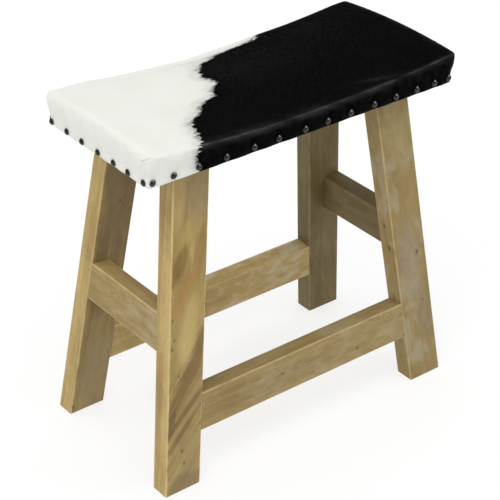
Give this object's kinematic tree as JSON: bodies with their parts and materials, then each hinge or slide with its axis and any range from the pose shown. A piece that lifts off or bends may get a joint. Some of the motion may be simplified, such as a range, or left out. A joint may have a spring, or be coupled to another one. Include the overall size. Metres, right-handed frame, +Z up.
{
  "type": "cowhide bench",
  "caption": "Small saddle-seat bench: padded seat in short-haired black and white cowhide with domed nails, on splayed wooden legs tied by stretchers.",
  "frame": {"origin": "on the floor, midway between the four feet", "axes": "+Z up, +X along the seat towards its right end, -Y to the front"},
  "size_m": [0.6, 0.3116, 0.6049],
  "materials": {
    "mango_wood": "waxed matt",
    "beech_dowel": "bare",
    "frame_timber": "sawn",
    "plywood": "bare",
    "foam": "open cell foam",
    "wadding": "needled polyester wadding",
    "cowhide": "short hair, white at the left end and black over the rest",
    "nail_metal": "dark antique",
    "screw_steel": "zinc plated",
    "staple_wire": "galvanised",
    "dust_cloth": "non woven"
  },
  "bodies": {
    "root": {"back_stretcher": "mango_wood", "back_stretcher_dowels": "beech_dowel", "centre_bearer": "frame_timber", "cover_nails_back": "nail_metal", "cover_nails_front": "nail_metal", "cover_nails_left": "nail_metal", "cover_nails_right": "nail_metal", "cowhide_cover": "cowhide", "deck_screws": "screw_steel", "dust_cover": "dust_cloth", "dust_cover_staples": "staple_wire", "frame_screws": "screw_steel", "front_stretcher": "mango_wood", "front_stretcher_dowels": "beech_dowel", "hem_staples": "staple_wire", "left_end_stretcher": "mango_wood", "left_end_stretcher_dowels": "beech_dowel", "left_leg_bearer": "frame_timber", "leg_back_left": "mango_wood", "leg_back_right": "mango_wood", "leg_front_left": "mango_wood", "leg_front_right": "mango_wood", "leg_screws": "screw_steel", "right_end_stretcher": "mango_wood", "right_end_stretcher_dowels": "beech_dowel", "right_leg_bearer": "frame_timber", "seat_back_rail": "frame_timber", "seat_deck": "plywood", "seat_foam": "foam", "seat_front_rail": "frame_timber", "seat_left_rail": "frame_timber", "seat_right_rail": "frame_timber", "side_wadding": "wadding"}
  },
  "joints": []
}
